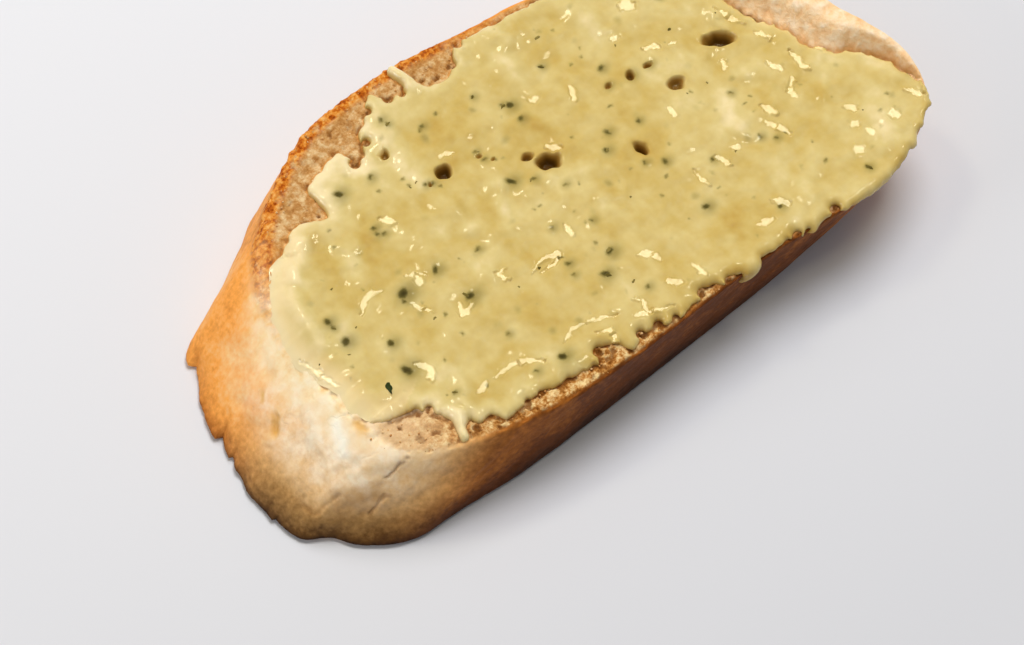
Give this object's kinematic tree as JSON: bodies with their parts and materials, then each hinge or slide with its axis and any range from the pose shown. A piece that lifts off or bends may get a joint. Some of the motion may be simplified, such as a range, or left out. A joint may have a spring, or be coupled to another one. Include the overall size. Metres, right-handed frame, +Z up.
{
  "type": "buttered toast",
  "caption": "Bias-cut slice of crusty white loaf with melted garlic-and-herb butter on its upper face; it lies flat as a snack or side dish.",
  "frame": {"origin": "middle of the bounding box in plan, on the surface that the slice lies on", "axes": "+X along the slice's long way, towards the end that overhangs; +Y towards the rounded top of the loaf; +Z up, out of the buttered face"},
  "size_m": [0.1236, 0.0668, 0.0191],
  "materials": {
    "bread": "baked crust and crumb, dull, with a faint sheen on the crust",
    "butter": "melted butter, wet and slightly see-through, with chopped herbs"
  },
  "bodies": {
    "root": {"bread": "bread", "butter": "butter"}
  },
  "joints": []
}
